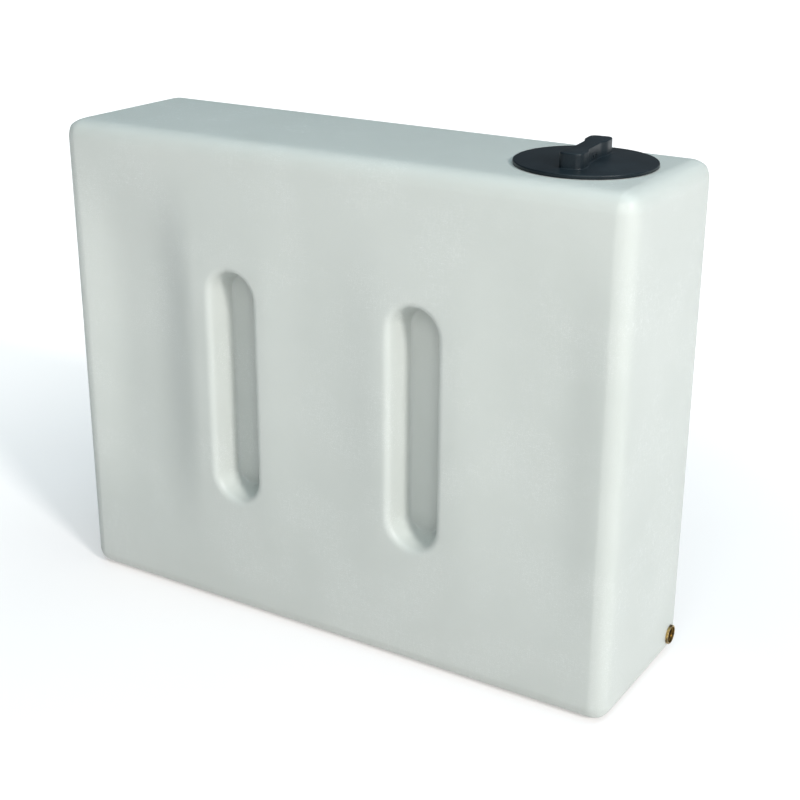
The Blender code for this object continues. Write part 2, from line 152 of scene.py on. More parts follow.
def light(name, kind, at, aim, energy, colour, breadth):
    """A soft light at a place, turned to face another; breadth is its width, or its angle for a sun."""
    data = bpy.data.lights.new(name, kind)
    data.energy = energy
    data.color = colour
    if kind == "SUN":
        data.angle = radians(breadth)
    else:
        data.size = breadth
    lamp = bpy.data.objects.new(name, data)
    lamp.location = at
    lamp.rotation_euler = (Vector(aim) - Vector(at)).to_track_quat("-Z", "Y").to_euler()
    scene.collection.objects.link(lamp)


light("end_sun", "SUN", (3.15, -1.42, 2.30), (0.0, 0.0, 0.4), 2.85, (1.0, 0.965, 0.945), 9.0)
light("overhead_sun", "SUN", (0.3, 0.2, 5.0), (0.0, 0.0, 0.0), 1.35, (0.70, 0.94, 1.0), 60.0)
light("front_panel", "AREA", (0.95, -1.45, 1.5), (0.5, -0.145, 0.45), 16.0, (1.0, 0.99, 0.97), 0.9)

# ---------------------------------------------------------------- Tank shell
# One rotomoulded body of natural polyethylene, 5 mm thick, with every edge generously rounded.
# Two deep slots in each long wall stiffen it, and the flat bays between them sag in a little as the
# moulding cools. The neck's rebate and the outlet's hole are cut after moulding.
low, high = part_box("tank_shell")
LENGTH = high.x - low.x
WIDTH = high.y - low.y
HEIGHT = high.z - low.z
WALL = 0.005
EDGE_R = 0.026
SLOT_X = 0.167
SLOT_Z = 0.400
SLOT_RUN = 0.305
SLOT_DEPTH = 0.046
SLOT_HALF = 0.052
SLOT_FLOOR_HALF = 0.026
LIP_R = 0.012
FLOOR_R = 0.0045
PATCH_HALF_X = 0.075
PATCH_HALF_Z = 0.230
PATCH_COLUMNS = 12
BAYS = ((-0.370, 0.130, 0.135, 0.022), (0.000, 0.112, 0.112, 0.006), (0.375, 0.145, 0.105, 0.008))
BAY_Z = 0.480
BAY_REACH_DOWN = 0.430
BAY_REACH_UP = 0.290

neck = Vector(((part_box("neck_ring")[0].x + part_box("neck_ring")[1].x) / 2, 0.0, high.z))


def spread(first, last, count):
    """Evenly spaced places from first to last."""
    return [first + (last - first) * i / count for i in range(count + 1)]


def arc(centre_r, centre_z, radius, first, last, steps):
    """Profile points along an arc, angles in degrees."""
    return [(centre_r + radius * cos(radians(a)), centre_z + radius * sin(radians(a)))
            for a in spread(first, last, steps)]


def window(offset, before, after):
    """1 in the middle of a bay, fading smoothly to 0 at its two edges."""
    share = abs(offset) / (before if offset < 0 else after)
    return 0.0 if share >= 1 else cos(0.5 * pi * share ** 1.5) ** 2


def sag(x, z):
    """How far a long wall is drawn in at a place."""
    across = sum(depth * window(x - middle, before, after) for middle, before, after, depth in BAYS)
    return across * window(z - BAY_Z, BAY_REACH_DOWN, BAY_REACH_UP)


def solid(name, shape, at=(0.0, 0.0, 0.0)):
    """A mesh object made of a finished bmesh, its faces pointing out."""
    bmesh.ops.recalc_face_normals(shape, faces=shape.faces)
    mesh = bpy.data.meshes.new(name)
    shape.to_mesh(mesh)
    shape.free()
    piece = bpy.data.objects.new(name, mesh)
    piece.location = at
    scene.collection.objects.link(piece)
    return piece


def settled(piece):
    """The same piece with its modifiers applied."""
    bpy.context.view_layer.update()
    graph = bpy.context.evaluated_depsgraph_get()
    mesh = bpy.data.meshes.new_from_object(piece.evaluated_get(graph))
    piece.modifiers.clear()
    piece.data = mesh
    mesh.name = piece.name
    return piece


def combine(piece, tool, operation="DIFFERENCE"):
    """Cut a tool from a piece, or join it to the piece, and drop the tool."""
    change = piece.modifiers.new(tool.name, "BOOLEAN")
    change.operation = operation
    change.object = tool
    change.solver = "EXACT"
    settled(piece)
    bpy.data.objects.remove(tool)
    return piece


def turned(name, profile, steps, at=(0.0, 0.0, 0.0)):
    """A turned piece about Z from a profile of (radius, height); it may start and end on the axis."""
    shape = bmesh.new()
    angles = [2 * pi * i / steps for i in range(steps)]
    rings = []
    for radius, z in profile:
        if radius < 1e-6:
            rings.append([shape.verts.new((0.0, 0.0, z))])
        else:
            rings.append([shape.verts.new((radius * cos(a), radius * sin(a), z)) for a in angles])
    closed = profile[0][0] > 1e-6
    following = rings[1:] + rings[:1] if closed else rings[1:]
    for ring, after in zip(rings, following):
        for i in range(steps):
            j = (i + 1) % steps
            corners = [ring[i % len(ring)], ring[j % len(ring)], after[j % len(after)], after[i % len(after)]]
            shape.faces.new(list(dict.fromkeys(corners)))
    return solid(name, shape, at)


def soften(piece, angle=35.0):
    """Smooth shading that keeps the edges sharper than an angle."""
    piece.data.shade_smooth()
    piece.data.set_sharp_from_angle(angle=radians(angle))


slot_profile = [(0.0640, 0.0), (0.0570, 0.0)]
slot_profile += arc(SLOT_HALF, -LIP_R, LIP_R, 90, 172, 4)
slot_profile += arc(SLOT_FLOOR_HALF, -SLOT_DEPTH + FLOOR_R, FLOOR_R, -8, -90, 4)
slot_profile += [(0.016, -SLOT_DEPTH), (0.008, -SLOT_DEPTH)]

slot_columns = [spread(x - PATCH_HALF_X, x + PATCH_HALF_X, PATCH_COLUMNS) for x in (-SLOT_X, SLOT_X)]
columns = spread(-LENGTH / 2, slot_columns[0][0], 9)[1:-1] + slot_columns[0]
columns += spread(slot_columns[0][-1], slot_columns[1][0], 6)[1:-1] + slot_columns[1]
columns += spread(slot_columns[1][-1], LENGTH / 2, 9)[1:-1]
slot_rows = [-PATCH_HALF_Z] + spread(-SLOT_RUN / 2, SLOT_RUN / 2, 6) + [PATCH_HALF_Z]
rows = spread(0.0, SLOT_Z - PATCH_HALF_Z, 6)[1:-1] + [SLOT_Z + z for z in slot_rows]
rows += spread(SLOT_Z + PATCH_HALF_Z, HEIGHT, 6)[1:-1]


def slot_ring(distance):
    """Places (x, z) round a slot at a distance from its middle line, matching the patch's border."""
    ends = [180.0 * (i + 1) / (PATCH_COLUMNS + 2) for i in range(PATCH_COLUMNS + 1)]
    sides = slot_rows[1:-1]
    ring = [(distance * cos(radians(180 + a)), -SLOT_RUN / 2 + distance * sin(radians(180 + a)))
            for a in ends]
    ring += [(distance, z) for z in sides]
    ring += [(distance * cos(radians(a)), SLOT_RUN / 2 + distance * sin(radians(a))) for a in ends]
    ring += [(-distance, z) for z in reversed(sides)]
    return ring


def patch_border():
    """Places (x, z) round the patch that a slot fills, in the order of slot_ring."""
    across = spread(-PATCH_HALF_X, PATCH_HALF_X, PATCH_COLUMNS)
    border = [(x, -PATCH_HALF_Z) for x in across]
    border += [(PATCH_HALF_X, z) for z in slot_rows[1:-1]]
    border += [(x, PATCH_HALF_Z) for x in reversed(across)]
    border += [(-PATCH_HALF_X, z) for z in reversed(slot_rows[1:-1])]
    return border


def cut_lines(shape, axis, places):
    """Cut edge lines right round a form, square to an axis."""
    normal = Vector([1.0 if i == axis else 0.0 for i in range(3)])
    for place in places:
        everything = shape.verts[:] + shape.edges[:] + shape.faces[:]
        bmesh.ops.bisect_plane(shape, geom=everything, plane_co=normal * place, plane_no=normal)


cage = bmesh.new()
bmesh.ops.create_cube(cage, size=1.0)
for vertex in cage.verts:
    vertex.co = (vertex.co.x * LENGTH, vertex.co.y * WIDTH, (vertex.co.z + 0.5) * HEIGHT)
cut_lines(cage, 0, columns)
cut_lines(cage, 2, rows)
cut_lines(cage, 1, spread(-WIDTH / 2 + EDGE_R + 0.022, WIDTH / 2 - EDGE_R - 0.022, 5))
box_edges = [edge for edge in cage.edges if sum(
    all(abs(abs(vertex.co[i] - middle) - half) < 1e-5 for vertex in edge.verts)
    for i, middle, half in ((0, 0.0, LENGTH / 2), (1, 0.0, WIDTH / 2), (2, HEIGHT / 2, HEIGHT / 2))) == 2]
bmesh.ops.bevel(cage, geom=box_edges, offset=EDGE_R, offset_type="OFFSET", segments=3, profile=0.5,
                affect="EDGES", clamp_overlap=False)
for side in (-1, 1):
    for middle in (-SLOT_X, SLOT_X):
        face_y = side * WIDTH / 2
        inside = [face for face in cage.faces if all(
            abs(vertex.co.y - face_y) < 1e-5 and abs(vertex.co.x - middle) < PATCH_HALF_X + 1e-5
            and abs(vertex.co.z - SLOT_Z) < PATCH_HALF_Z + 1e-5 for vertex in face.verts)]
        bmesh.ops.delete(cage, geom=inside, context="FACES")
        found = {(round(v.co.x, 4), round(v.co.z, 4)): v for v in cage.verts if abs(v.co.y - face_y) < 1e-5}
        outer = [found[round(middle + x, 4), round(SLOT_Z + z, 4)] for x, z in patch_border()]
        for distance, depth in slot_profile:
            ring = [cage.verts.new((middle + x, side * (WIDTH / 2 + depth), SLOT_Z + z))
                    for x, z in slot_ring(distance)]
            for i in range(len(ring)):
                j = (i + 1) % len(ring)
                cage.faces.new((outer[i], outer[j], ring[j], ring[i]))
            outer = ring
        cage.faces.new(outer)


def moulded(name, mesh, levels):
    """The tank's form, rounded off by subdivision, with its long walls drawn in."""
    piece = bpy.data.objects.new(name, mesh)
    scene.collection.objects.link(piece)
    rounding = piece.modifiers.new("rounding", "SUBSURF")
    rounding.levels = levels
    rounding.render_levels = levels
    settled(piece)
    for vertex in piece.data.vertices:
        if abs(vertex.co.y) > WIDTH / 2 - SLOT_DEPTH - 0.01:
            vertex.co.y -= sag(vertex.co.x, vertex.co.z) * (1 if vertex.co.y > 0 else -1)
    return piece


pattern = solid("tank_pattern", cage)
moulded_shell = moulded("moulded_shell", pattern.data, 2)
cavity = moulded("cavity", pattern.data, 1)
normals = [vertex.normal.copy() for vertex in cavity.data.vertices]
for vertex, normal in zip(cavity.data.vertices, normals):
    vertex.co -= normal * WALL
bpy.data.objects.remove(pattern)

REBATE_R = 0.099
REBATE_DEPTH = 0.006
NECK_HOLE_R = 0.080
OUTLET_BOSS_R = 0.0225
OUTLET_BOSS_DEPTH = 0.030
OUTLET_HOLE_R = 0.0153
OUTLET_CUT = 0.045
NECK_CUT = 0.030
PLUG_PROUD = 0.012
outlet_low, outlet_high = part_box("outlet_insert")
outlet = Vector((high.x, (outlet_low.y + outlet_high.y) / 2, (outlet_low.z + outlet_high.z) / 2))
facing_out = Matrix.Rotation(pi / 2, 4, "Y")


def plug(name, steps_down, at, facing=Matrix(), steps=96):
    """A stepped round plug that stands proud of the wall; steps_down are its (radius, height) corners."""
    profile = [(0.0, PLUG_PROUD), (steps_down[0][0], PLUG_PROUD)] + steps_down + [(0.0, steps_down[-1][1])]
    piece = turned(name, profile, steps)
    piece.matrix_world = Matrix.Translation(at) @ facing
    return piece


combine(cavity, plug("rebate_back", [(REBATE_R + WALL, -REBATE_DEPTH - WALL)], neck))
combine(cavity, plug("outlet_boss", [(OUTLET_BOSS_R, -OUTLET_BOSS_DEPTH)], outlet, facing_out, 48))
combine(moulded_shell, cavity)
combine(moulded_shell, plug("neck_plug", [(REBATE_R, -REBATE_DEPTH), (NECK_HOLE_R, -REBATE_DEPTH),
                                          (NECK_HOLE_R, -NECK_CUT)], neck))
combine(moulded_shell, plug("outlet_hole", [(OUTLET_HOLE_R, -OUTLET_CUT)], outlet, facing_out, 48))
soften(moulded_shell, 40.0)


def new_group(name, inputs, outputs):
    """An empty shader group with float inputs (name, value) and outputs (name, socket type)."""
    group = bpy.data.node_groups.new(name, "ShaderNodeTree")
    for label, value in inputs:
        socket = group.interface.new_socket(label, in_out="INPUT", socket_type="NodeSocketFloat")
        socket.default_value = value
    for label, kind in outputs:
        group.interface.new_socket(label, in_out="OUTPUT", socket_type=kind)
    return group, group.nodes.new("NodeGroupInput"), group.nodes.new("NodeGroupOutput")


def use_group(nodes, group, **values):
    """A group placed in a material with its own values; an underscore stands for a space."""
    node = nodes.new("ShaderNodeGroup")
    node.node_tree = group
    for label, value in values.items():
        node.inputs[label.replace("_", " ")].default_value = value
    return node


def math_node(nodes, links, operation, first, second=0.0, clamp=False, third=0.0):
    """A math node; each operand is a number or a socket."""
    node = nodes.new("ShaderNodeMath")
    node.operation = operation
    node.use_clamp = clamp
    for socket, value in zip(node.inputs, (first, second, third)):
        if isinstance(value, (int, float)):
            socket.default_value = value
        else:
            links.new(value, socket)
    return node.outputs["Value"]


def blend_colours(nodes, links, factor, first, second):
    """A colour mix; each colour is a triple or a socket."""
    node = nodes.new("ShaderNodeMix")
    node.data_type = "RGBA"
    links.new(factor, node.inputs["Factor"])
    for label, value in (("A", first), ("B", second)):
        socket = next(each for each in node.inputs if each.name == label and each.type == "RGBA")
        if isinstance(value, tuple):
            socket.default_value = (*value, 1.0)
        else:
            links.new(value, socket)
    return next(each for each in node.outputs if each.type == "RGBA")


def bump(nodes, links, height, distance, strength):
    """A bump node over a height."""
    node = nodes.new("ShaderNodeBump")
    node.inputs["Distance"].default_value = distance
    node.inputs["Strength"].default_value = strength
    links.new(height, node.inputs["Height"])
    return node.outputs["Normal"]


def noise(nodes, links, scale, detail=2.0, stretch=None):
    """Noise in the piece's own space, optionally stretched along the axes."""
    place = nodes.new("ShaderNodeTexCoord")
    vector = place.outputs["Object"]
    if stretch:
        mapping = nodes.new("ShaderNodeMapping")
        mapping.inputs["Scale"].default_value = stretch
        links.new(vector, mapping.inputs["Vector"])
        vector = mapping.outputs["Vector"]
    node = nodes.new("ShaderNodeTexNoise")
    if isinstance(scale, (int, float)):
        node.inputs["Scale"].default_value = scale
    else:
        links.new(scale, node.inputs["Scale"])
    node.inputs["Detail"].default_value = detail
    links.new(vector, node.inputs["Vector"])
    return node.outputs["Fac"]


# Moulded skin: the fine pebbled face that a mould leaves, over a slow waviness.
moulded_skin, inputs, outputs = new_group(
    "Moulded skin", [("Grain per metre", 900.0), ("Waves per metre", 18.0), ("Wave share", 0.5)],
    [("Height", "NodeSocketFloat"), ("Grain", "NodeSocketFloat")])
nodes, links = moulded_skin.nodes, moulded_skin.links
grain = noise(nodes, links, inputs.outputs["Grain per metre"], 3.0)
waves = noise(nodes, links, inputs.outputs["Waves per metre"], 1.0)
wave_height = math_node(nodes, links, "MULTIPLY", waves, inputs.outputs["Wave share"])
links.new(math_node(nodes, links, "ADD", grain, wave_height), outputs.inputs["Height"])
links.new(grain, outputs.inputs["Grain"])

# Cloudiness: slow patches, as in natural plastic whose powder melted unevenly.
cloudiness, inputs, outputs = new_group("Cloudiness", [("Patches per metre", 6.0)],
                                        [("Mask", "NodeSocketFloat")])
nodes, links = cloudiness.nodes, cloudiness.links
patches = noise(nodes, links, inputs.outputs["Patches per metre"], 4.0)
links.new(patches, outputs.inputs["Mask"])

# Scuffs: short fine scratches running a little off level, gathered in patches.
scuffs, inputs, outputs = new_group("Scuffs", [("Scratches per metre", 60.0), ("Amount", 0.5)],
                                    [("Mask", "NodeSocketFloat")])
nodes, links = scuffs.nodes, scuffs.links
lines = noise(nodes, links, inputs.outputs["Scratches per metre"], 6.0, (1.0, 1.0, 14.0))
crossing = noise(nodes, links, inputs.outputs["Scratches per metre"], 6.0, (14.0, 3.0, 1.0))
gathered = noise(nodes, links, 9.0, 2.0)
thin = [math_node(nodes, links, "LESS_THAN", math_node(nodes, links, "ABSOLUTE", math_node(
    nodes, links, "SUBTRACT", each, 0.5)), 0.004) for each in (lines, crossing)]
either = math_node(nodes, links, "MAXIMUM", thin[0], thin[1])
above_level = math_node(nodes, links, "SUBTRACT", gathered, 0.45, True)
patch = math_node(nodes, links, "MULTIPLY", above_level, 6.0, True)
links.new(math_node(nodes, links, "MULTIPLY", math_node(nodes, links, "MULTIPLY", either, patch),
                    inputs.outputs["Amount"]), outputs.inputs["Mask"])

# Dust: settles on faces that look up, thicker in some patches than in others.
dust, inputs, outputs = new_group("Dust", [("Amount", 0.3)], [("Mask", "NodeSocketFloat")])
nodes, links = dust.nodes, dust.links
geometry = nodes.new("ShaderNodeNewGeometry")
split = nodes.new("ShaderNodeSeparateXYZ")
links.new(geometry.outputs["Normal"], split.inputs["Vector"])
facing_up = math_node(nodes, links, "SUBTRACT", split.outputs["Z"], 0.4, True)
specks = math_node(nodes, links, "MULTIPLY", noise(nodes, links, 260.0, 5.0), noise(nodes, links, 14.0, 3.0))
links.new(math_node(nodes, links, "MULTIPLY", math_node(nodes, links, "MULTIPLY", facing_up, specks),
                    inputs.outputs["Amount"]), outputs.inputs["Mask"])

# Natural polyethylene: milky, faintly green, and a little translucent.
natural_plastic, nodes, links, shader = new_material("natural_plastic")
skin = use_group(nodes, moulded_skin, Grain_per_metre=700.0, Waves_per_metre=14.0, Wave_share=2.0)
milk = use_group(nodes, cloudiness, Patches_per_metre=5.0)
marks = use_group(nodes, scuffs, Scratches_per_metre=45.0, Amount=0.5)
settled_dust = use_group(nodes, dust, Amount=0.35)
colour = ramp(nodes, links, milk.outputs["Mask"], [(0.30, (0.440, 0.466, 0.440)),
                                                   (0.70, (0.463, 0.488, 0.462))])
colour = blend_colours(nodes, links, marks.outputs["Mask"], colour, (0.72, 0.74, 0.73))
colour = blend_colours(nodes, links, settled_dust.outputs["Mask"], colour, (0.42, 0.40, 0.36))
links.new(colour, shader.inputs["Base Color"])
links.new(math_node(nodes, links, "MULTIPLY_ADD", skin.outputs["Grain"], 0.16, third=0.34),
          shader.inputs["Roughness"])
links.new(bump(nodes, links, skin.outputs["Height"], 0.0004, 0.5), shader.inputs["Normal"])
shader.inputs["Subsurface Weight"].default_value = 0.35
shader.inputs["Subsurface Radius"].default_value = (1.0, 1.0, 0.95)
shader.inputs["Subsurface Scale"].default_value = 0.012
shader.inputs["Specular IOR Level"].default_value = 0.35
shader.inputs["IOR"].default_value = 1.5
moulded_shell.data.materials.clear()
moulded_shell.data.materials.append(natural_plastic)
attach(moulded_shell, "tank")
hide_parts("tank_shell")

# ---------------------------------------------------------------- Neck ring, gaskets and screws
# A moulded ring with a coarse right-hand thread is let into the top and clamped through a soft gasket
# to a plain ring under the wall by eight countersunk stainless screws.
RING_FLANGE_R = 0.0985
RING_FLANGE = 0.004
RING_TUBE_R = 0.0795
RING_BORE_R = 0.0757
RING_LENGTH = 0.022
RING_EDGE = 0.0004
RING_CHAMFER = 0.0006
SCREW_CIRCLE_R = 0.0890
SCREW_HEAD_R = 0.00475
SCREW_R = 0.0025
SCREW_LENGTH = 0.0175
SCREW_FIT = 0.0003
SCREW_HOLE = 0.030
HEAD_SUNK = 0.0002
HEAD_FOOT = 0.0027
HEX_R = 0.0018
HEX_DEPTH = 0.0016
PITCH = 0.006
RIDGE_BASE = 0.0030
RIDGE_CREST = 0.0016
NECK_CREST_R = 0.0732
NECK_THREAD_FOOT = -0.0185
NECK_TURNS = 2.25


def thread(name, wall_r, crest_r, foot, turns, pitch, base, crest, at, facing=Matrix()):
    """A right-hand ridge wound up a round wall, fading in and out at its ends."""
    root_r = wall_r + (0.0004 if crest_r < wall_r else -0.0004)
    per_turn = 72
    shape = bmesh.new()
    rings = []
    steps = round(turns * per_turn)
    for i in range(steps + 1):
        grown = max(0.2, min(1.0, i / 9, (steps - i) / 9))
        top_r = root_r + (crest_r - root_r) * grown
        z = foot + pitch * i / per_turn
        angle = 2 * pi * i / per_turn
        section = ((root_r, z - base / 2), (top_r, z - crest / 2),
                   (top_r, z + crest / 2), (root_r, z + base / 2))
        rings.append([shape.verts.new((r * cos(angle), r * sin(angle), h)) for r, h in section])
    for ring, after in zip(rings, rings[1:]):
        for j in range(4):
            shape.faces.new((ring[j], ring[(j + 1) % 4], after[(j + 1) % 4], after[j]))
    shape.faces.new(rings[0])
    shape.faces.new(rings[-1])
    piece = solid(name, shape)
    piece.matrix_world = Matrix.Translation(at) @ facing
    return piece


def covered(piece, material, body, slot, *nodes):
    """Give a finished piece its material, the body it rides on and the CAD nodes it stands for."""
    piece.data.materials.clear()
    piece.data.materials.append(material)
    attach(piece, body)
    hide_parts(*nodes)


def moulded_plastic(name, dark, light_tone, rough, grain, waves, wear, dustiness, specular=0.4):
    """A moulded plastic or rubber finish: mottled colour, fine grain, scuffs and dust."""
    material, nodes, links, shader = new_material(name)
    skin = use_group(nodes, moulded_skin, Grain_per_metre=grain, Waves_per_metre=waves, Wave_share=1.5)
    tone = use_group(nodes, cloudiness, Patches_per_metre=waves)
    marks = use_group(nodes, scuffs, Scratches_per_metre=90.0, Amount=wear)
    powder = use_group(nodes, dust, Amount=dustiness)
    colour = ramp(nodes, links, tone.outputs["Mask"], [(0.35, dark), (0.65, light_tone)])
    worn = tuple(1.8 * value + 0.03 for value in light_tone)
    colour = blend_colours(nodes, links, marks.outputs["Mask"], colour, worn)
    colour = blend_colours(nodes, links, powder.outputs["Mask"], colour, (0.30, 0.31, 0.32))
    links.new(colour, shader.inputs["Base Color"])
    links.new(math_node(nodes, links, "MULTIPLY_ADD", skin.outputs["Grain"], 0.25, third=rough - 0.12),
              shader.inputs["Roughness"])
    links.new(bump(nodes, links, skin.outputs["Height"], 0.0002, 0.4), shader.inputs["Normal"])
    shader.inputs["Specular IOR Level"].default_value = specular
    return material


def metal(name, clean, tarnished, rough, patches, lines):
    """A turned metal finish: tarnish in patches and fine tool lines round the piece."""
    material, nodes, links, shader = new_material(name)
    stains = use_group(nodes, cloudiness, Patches_per_metre=patches)
    tool_lines = noise(nodes, links, lines, 2.0, (0.15, 0.15, 6.0))
    links.new(ramp(nodes, links, stains.outputs["Mask"], [(0.38, clean), (0.62, tarnished)]),
              shader.inputs["Base Color"])
    spread_out = math_node(nodes, links, "MULTIPLY_ADD", stains.outputs["Mask"], 0.5, third=rough - 0.2)
    links.new(spread_out, shader.inputs["Roughness"])
    links.new(bump(nodes, links, tool_lines, 0.00008, 0.6), shader.inputs["Normal"])
    shader.inputs["Metallic"].default_value = 1.0
    return material


ring_plastic = moulded_plastic("black_ring_plastic", (0.013, 0.014, 0.016), (0.022, 0.024, 0.026), 0.50,
                               1600.0, 30.0, 0.4, 0.3)
seal_rubber = moulded_plastic("black_seal_rubber", (0.014, 0.014, 0.014), (0.026, 0.026, 0.026), 0.75, 2600.0,
                              40.0, 0.1, 0.4, 0.25)
white_plastic = moulded_plastic("white_vent_plastic", (0.68, 0.68, 0.66), (0.78, 0.78, 0.76), 0.42, 1800.0,
                                60.0, 0.2, 0.3)
steel = metal("stainless", (0.60, 0.60, 0.585), (0.46, 0.455, 0.44), 0.34, 220.0, 900.0)

screw_spots = [neck + Vector((SCREW_CIRCLE_R * cos(a), SCREW_CIRCLE_R * sin(a), 0.0))
               for a in (2 * pi * i / 8 for i in range(8))]
ring_profile = [(RING_FLANGE_R, -RING_EDGE), (RING_FLANGE_R, -RING_FLANGE), (RING_TUBE_R, -RING_FLANGE),
                (RING_TUBE_R, -RING_LENGTH), (RING_BORE_R, -RING_LENGTH), (RING_BORE_R, -RING_CHAMFER),
                (RING_BORE_R + RING_CHAMFER, 0.0), (RING_FLANGE_R - RING_EDGE, 0.0)]
neck_ring = turned("moulded_neck_ring", ring_profile, 128, neck)
combine(neck_ring, thread("neck_thread", RING_BORE_R, NECK_CREST_R, NECK_THREAD_FOOT, NECK_TURNS, PITCH,
                          RIDGE_BASE, RIDGE_CREST, neck), "UNION")
countersink = [(0.0, 0.002), (SCREW_HEAD_R + SCREW_FIT, 0.002), (SCREW_HEAD_R + SCREW_FIT, -0.0006),
               (SCREW_R + SCREW_FIT, -HEAD_FOOT), (SCREW_R + SCREW_FIT, -SCREW_HOLE), (0.0, -SCREW_HOLE)]
for spot in screw_spots:
    combine(neck_ring, turned("countersink", countersink, 24, spot))
soften(neck_ring)
covered(neck_ring, ring_plastic, "tank", "black_ring_polypropylene", "neck_ring")

screw_profile = [(0.0, -HEAD_SUNK), (SCREW_HEAD_R - HEAD_SUNK, -HEAD_SUNK), (SCREW_HEAD_R, -0.0005),
                 (SCREW_R, -HEAD_FOOT), (SCREW_R, -SCREW_LENGTH), (0.0, -SCREW_LENGTH)]
hex_socket = [(0.0, 0.001), (HEX_R, 0.001), (HEX_R, -HEX_DEPTH), (0.0, -HEX_DEPTH)]
for i, spot in enumerate(screw_spots):
    screw = turned(f"countersunk_screw_{i + 1}", screw_profile, 32, spot)
    combine(screw, turned("hex_socket", hex_socket, 6, spot))
    soften(screw)
    covered(screw, steel, "tank", "stainless_steel", f"ring_screw_{i + 1}")

plain_nodes = {"neck_gasket": seal_rubber, "neck_back_ring": ring_plastic, "lid_seal": seal_rubber,
               "vent_seat": seal_rubber, "vent_cage": white_plastic, "vent_ball": white_plastic,
               "vent_screen": steel, "vent_screw_1": steel, "vent_screw_2": steel}
for node, material in plain_nodes.items():
    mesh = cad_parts[node].data
    mesh.materials.clear()
    mesh.materials.append(material)

# ---------------------------------------------------------------- Lid
# One flat disc of black polypropylene with a bar grip moulded across it: broad rounded ends and a
# narrow waist, hollow beneath. Its threaded skirt hangs under the disc and turns in the neck ring.
LID_R = 0.1025
LID_TOP = 0.006
LID_UNDER = 0.0018
RIM_FOOT = 0.0012
RIM_WIDTH = 0.0035
SKIRT_R = 0.0725
SKIRT_BORE_R = 0.0695
SKIRT_FOOT = -0.021
GRIP_LENGTH = 0.140
GRIP_END_HALF = 0.0175
GRIP_WAIST_HALF = 0.0125
GRIP_TOP = 0.028
GRIP_SKIN = 0.0035
GRIP_CORNER_R = 0.010
GRIP_TURN = radians(6.0)
GRIP_EDGE_R = 0.0022
GRIP_FOOT_R = 0.0018
CHAMBER_HALF = 0.013
END_POCKET = 0.017
WAIST_END = 0.024
WAIST_BLEND = 0.020
LID_EDGE_R = 0.0014
SKIRT_EDGE = 0.0005
WELD_GAP = 0.0003
LID_CREST_R = 0.0745
LID_THREAD_FOOT = -0.0155
LID_TURNS = 1.75
CUT_DEPTH = 0.002
BREATHER_R = 0.002
BREATHER_REACH = 0.030
BREATHER_Y = 0.006
BREATHER_Z = 0.013
VENT_SCREW_X = 0.0205
VENT_HOLE_R = 0.0018
VENT_HOLE_TOP = 0.0045
VENT_HOLE_FOOT = -0.010
on_lid = Matrix.Translation(neck) @ Matrix.Rotation(GRIP_TURN, 4, "Z")


def grip_half_width(along):
    """Half the grip's width at a place along it: a narrow waist between broad ends."""
    blend = min(1.0, max(0.0, (abs(along) - WAIST_END) / WAIST_BLEND))
    return GRIP_WAIST_HALF + (GRIP_END_HALF - GRIP_WAIST_HALF) * blend * blend * (3 - 2 * blend)


def grip_outline(first, last, inset):
    """The grip's outline between two places along it; an end at full length gets round corners."""
    end = GRIP_LENGTH / 2 - inset
    corner = GRIP_CORNER_R - inset
    half = GRIP_END_HALF - inset
    low_y = -end + corner if first <= -GRIP_LENGTH / 2 else first
    high_y = end - corner if last >= GRIP_LENGTH / 2 else last
    side = [(grip_half_width(y) - inset, y) for y in spread(low_y, high_y, 32)]
    turn = spread(0.0, 90.0, 8)[1:]
    if last >= GRIP_LENGTH / 2:
        side += [(half - corner + corner * cos(radians(a)), high_y + corner * sin(radians(a))) for a in turn]
    if first <= -GRIP_LENGTH / 2:
        side = [(half - corner + corner * cos(radians(a)), low_y - corner * sin(radians(a)))
                for a in reversed(turn)] + side
    return side + [(-x, y) for x, y in reversed(side)]


def stacked(name, levels, facing):
    """A solid through outlines at rising heights, levels being (outline, height)."""
    shape = bmesh.new()
    rings = [[shape.verts.new((x, y, z)) for x, y in outline] for outline, z in levels]
    for ring, after in zip(rings, rings[1:]):
        for i in range(len(ring)):
            j = (i + 1) % len(ring)
            shape.faces.new((ring[i], ring[j], after[j], after[i]))
    shape.faces.new(rings[0])
    shape.faces.new(rings[-1])
    piece = solid(name, shape)
    piece.matrix_world = facing
    return piece


whole = (-GRIP_LENGTH / 2, GRIP_LENGTH / 2)
disc_profile = [(0.0, LID_TOP)] + arc(LID_R - LID_EDGE_R, LID_TOP - LID_EDGE_R, LID_EDGE_R, 90, 0, 5)
disc_profile += [(LID_R, RIM_FOOT), (LID_R - RIM_WIDTH, RIM_FOOT), (LID_R - RIM_WIDTH, LID_UNDER),
                 (0.0, LID_UNDER)]
disc = turned("lid_disc", disc_profile, 160, neck)
foot = [(grip_outline(*whole, -GRIP_FOOT_R), LID_TOP - 0.0005)]
foot += [(grip_outline(*whole, -GRIP_FOOT_R * (1 - sin(radians(a)))),
          LID_TOP + GRIP_FOOT_R * (1 - cos(radians(a)))) for a in spread(0, 90, 4)]
top = [(grip_outline(*whole, GRIP_EDGE_R * (1 - cos(radians(a)))),
        GRIP_TOP - GRIP_EDGE_R * (1 - sin(radians(a)))) for a in spread(0, 90, 5)]
combine(disc, stacked("grip", foot + top, on_lid), "UNION")
pocket_top = GRIP_TOP - GRIP_SKIN
waist = GRIP_WAIST_HALF - GRIP_SKIN
chamber = [(-waist, -CHAMBER_HALF), (waist, -CHAMBER_HALF), (waist, CHAMBER_HALF), (-waist, CHAMBER_HALF)]
combine(disc, stacked("vent_chamber", [(chamber, LID_UNDER - CUT_DEPTH), (chamber, pocket_top)], on_lid))
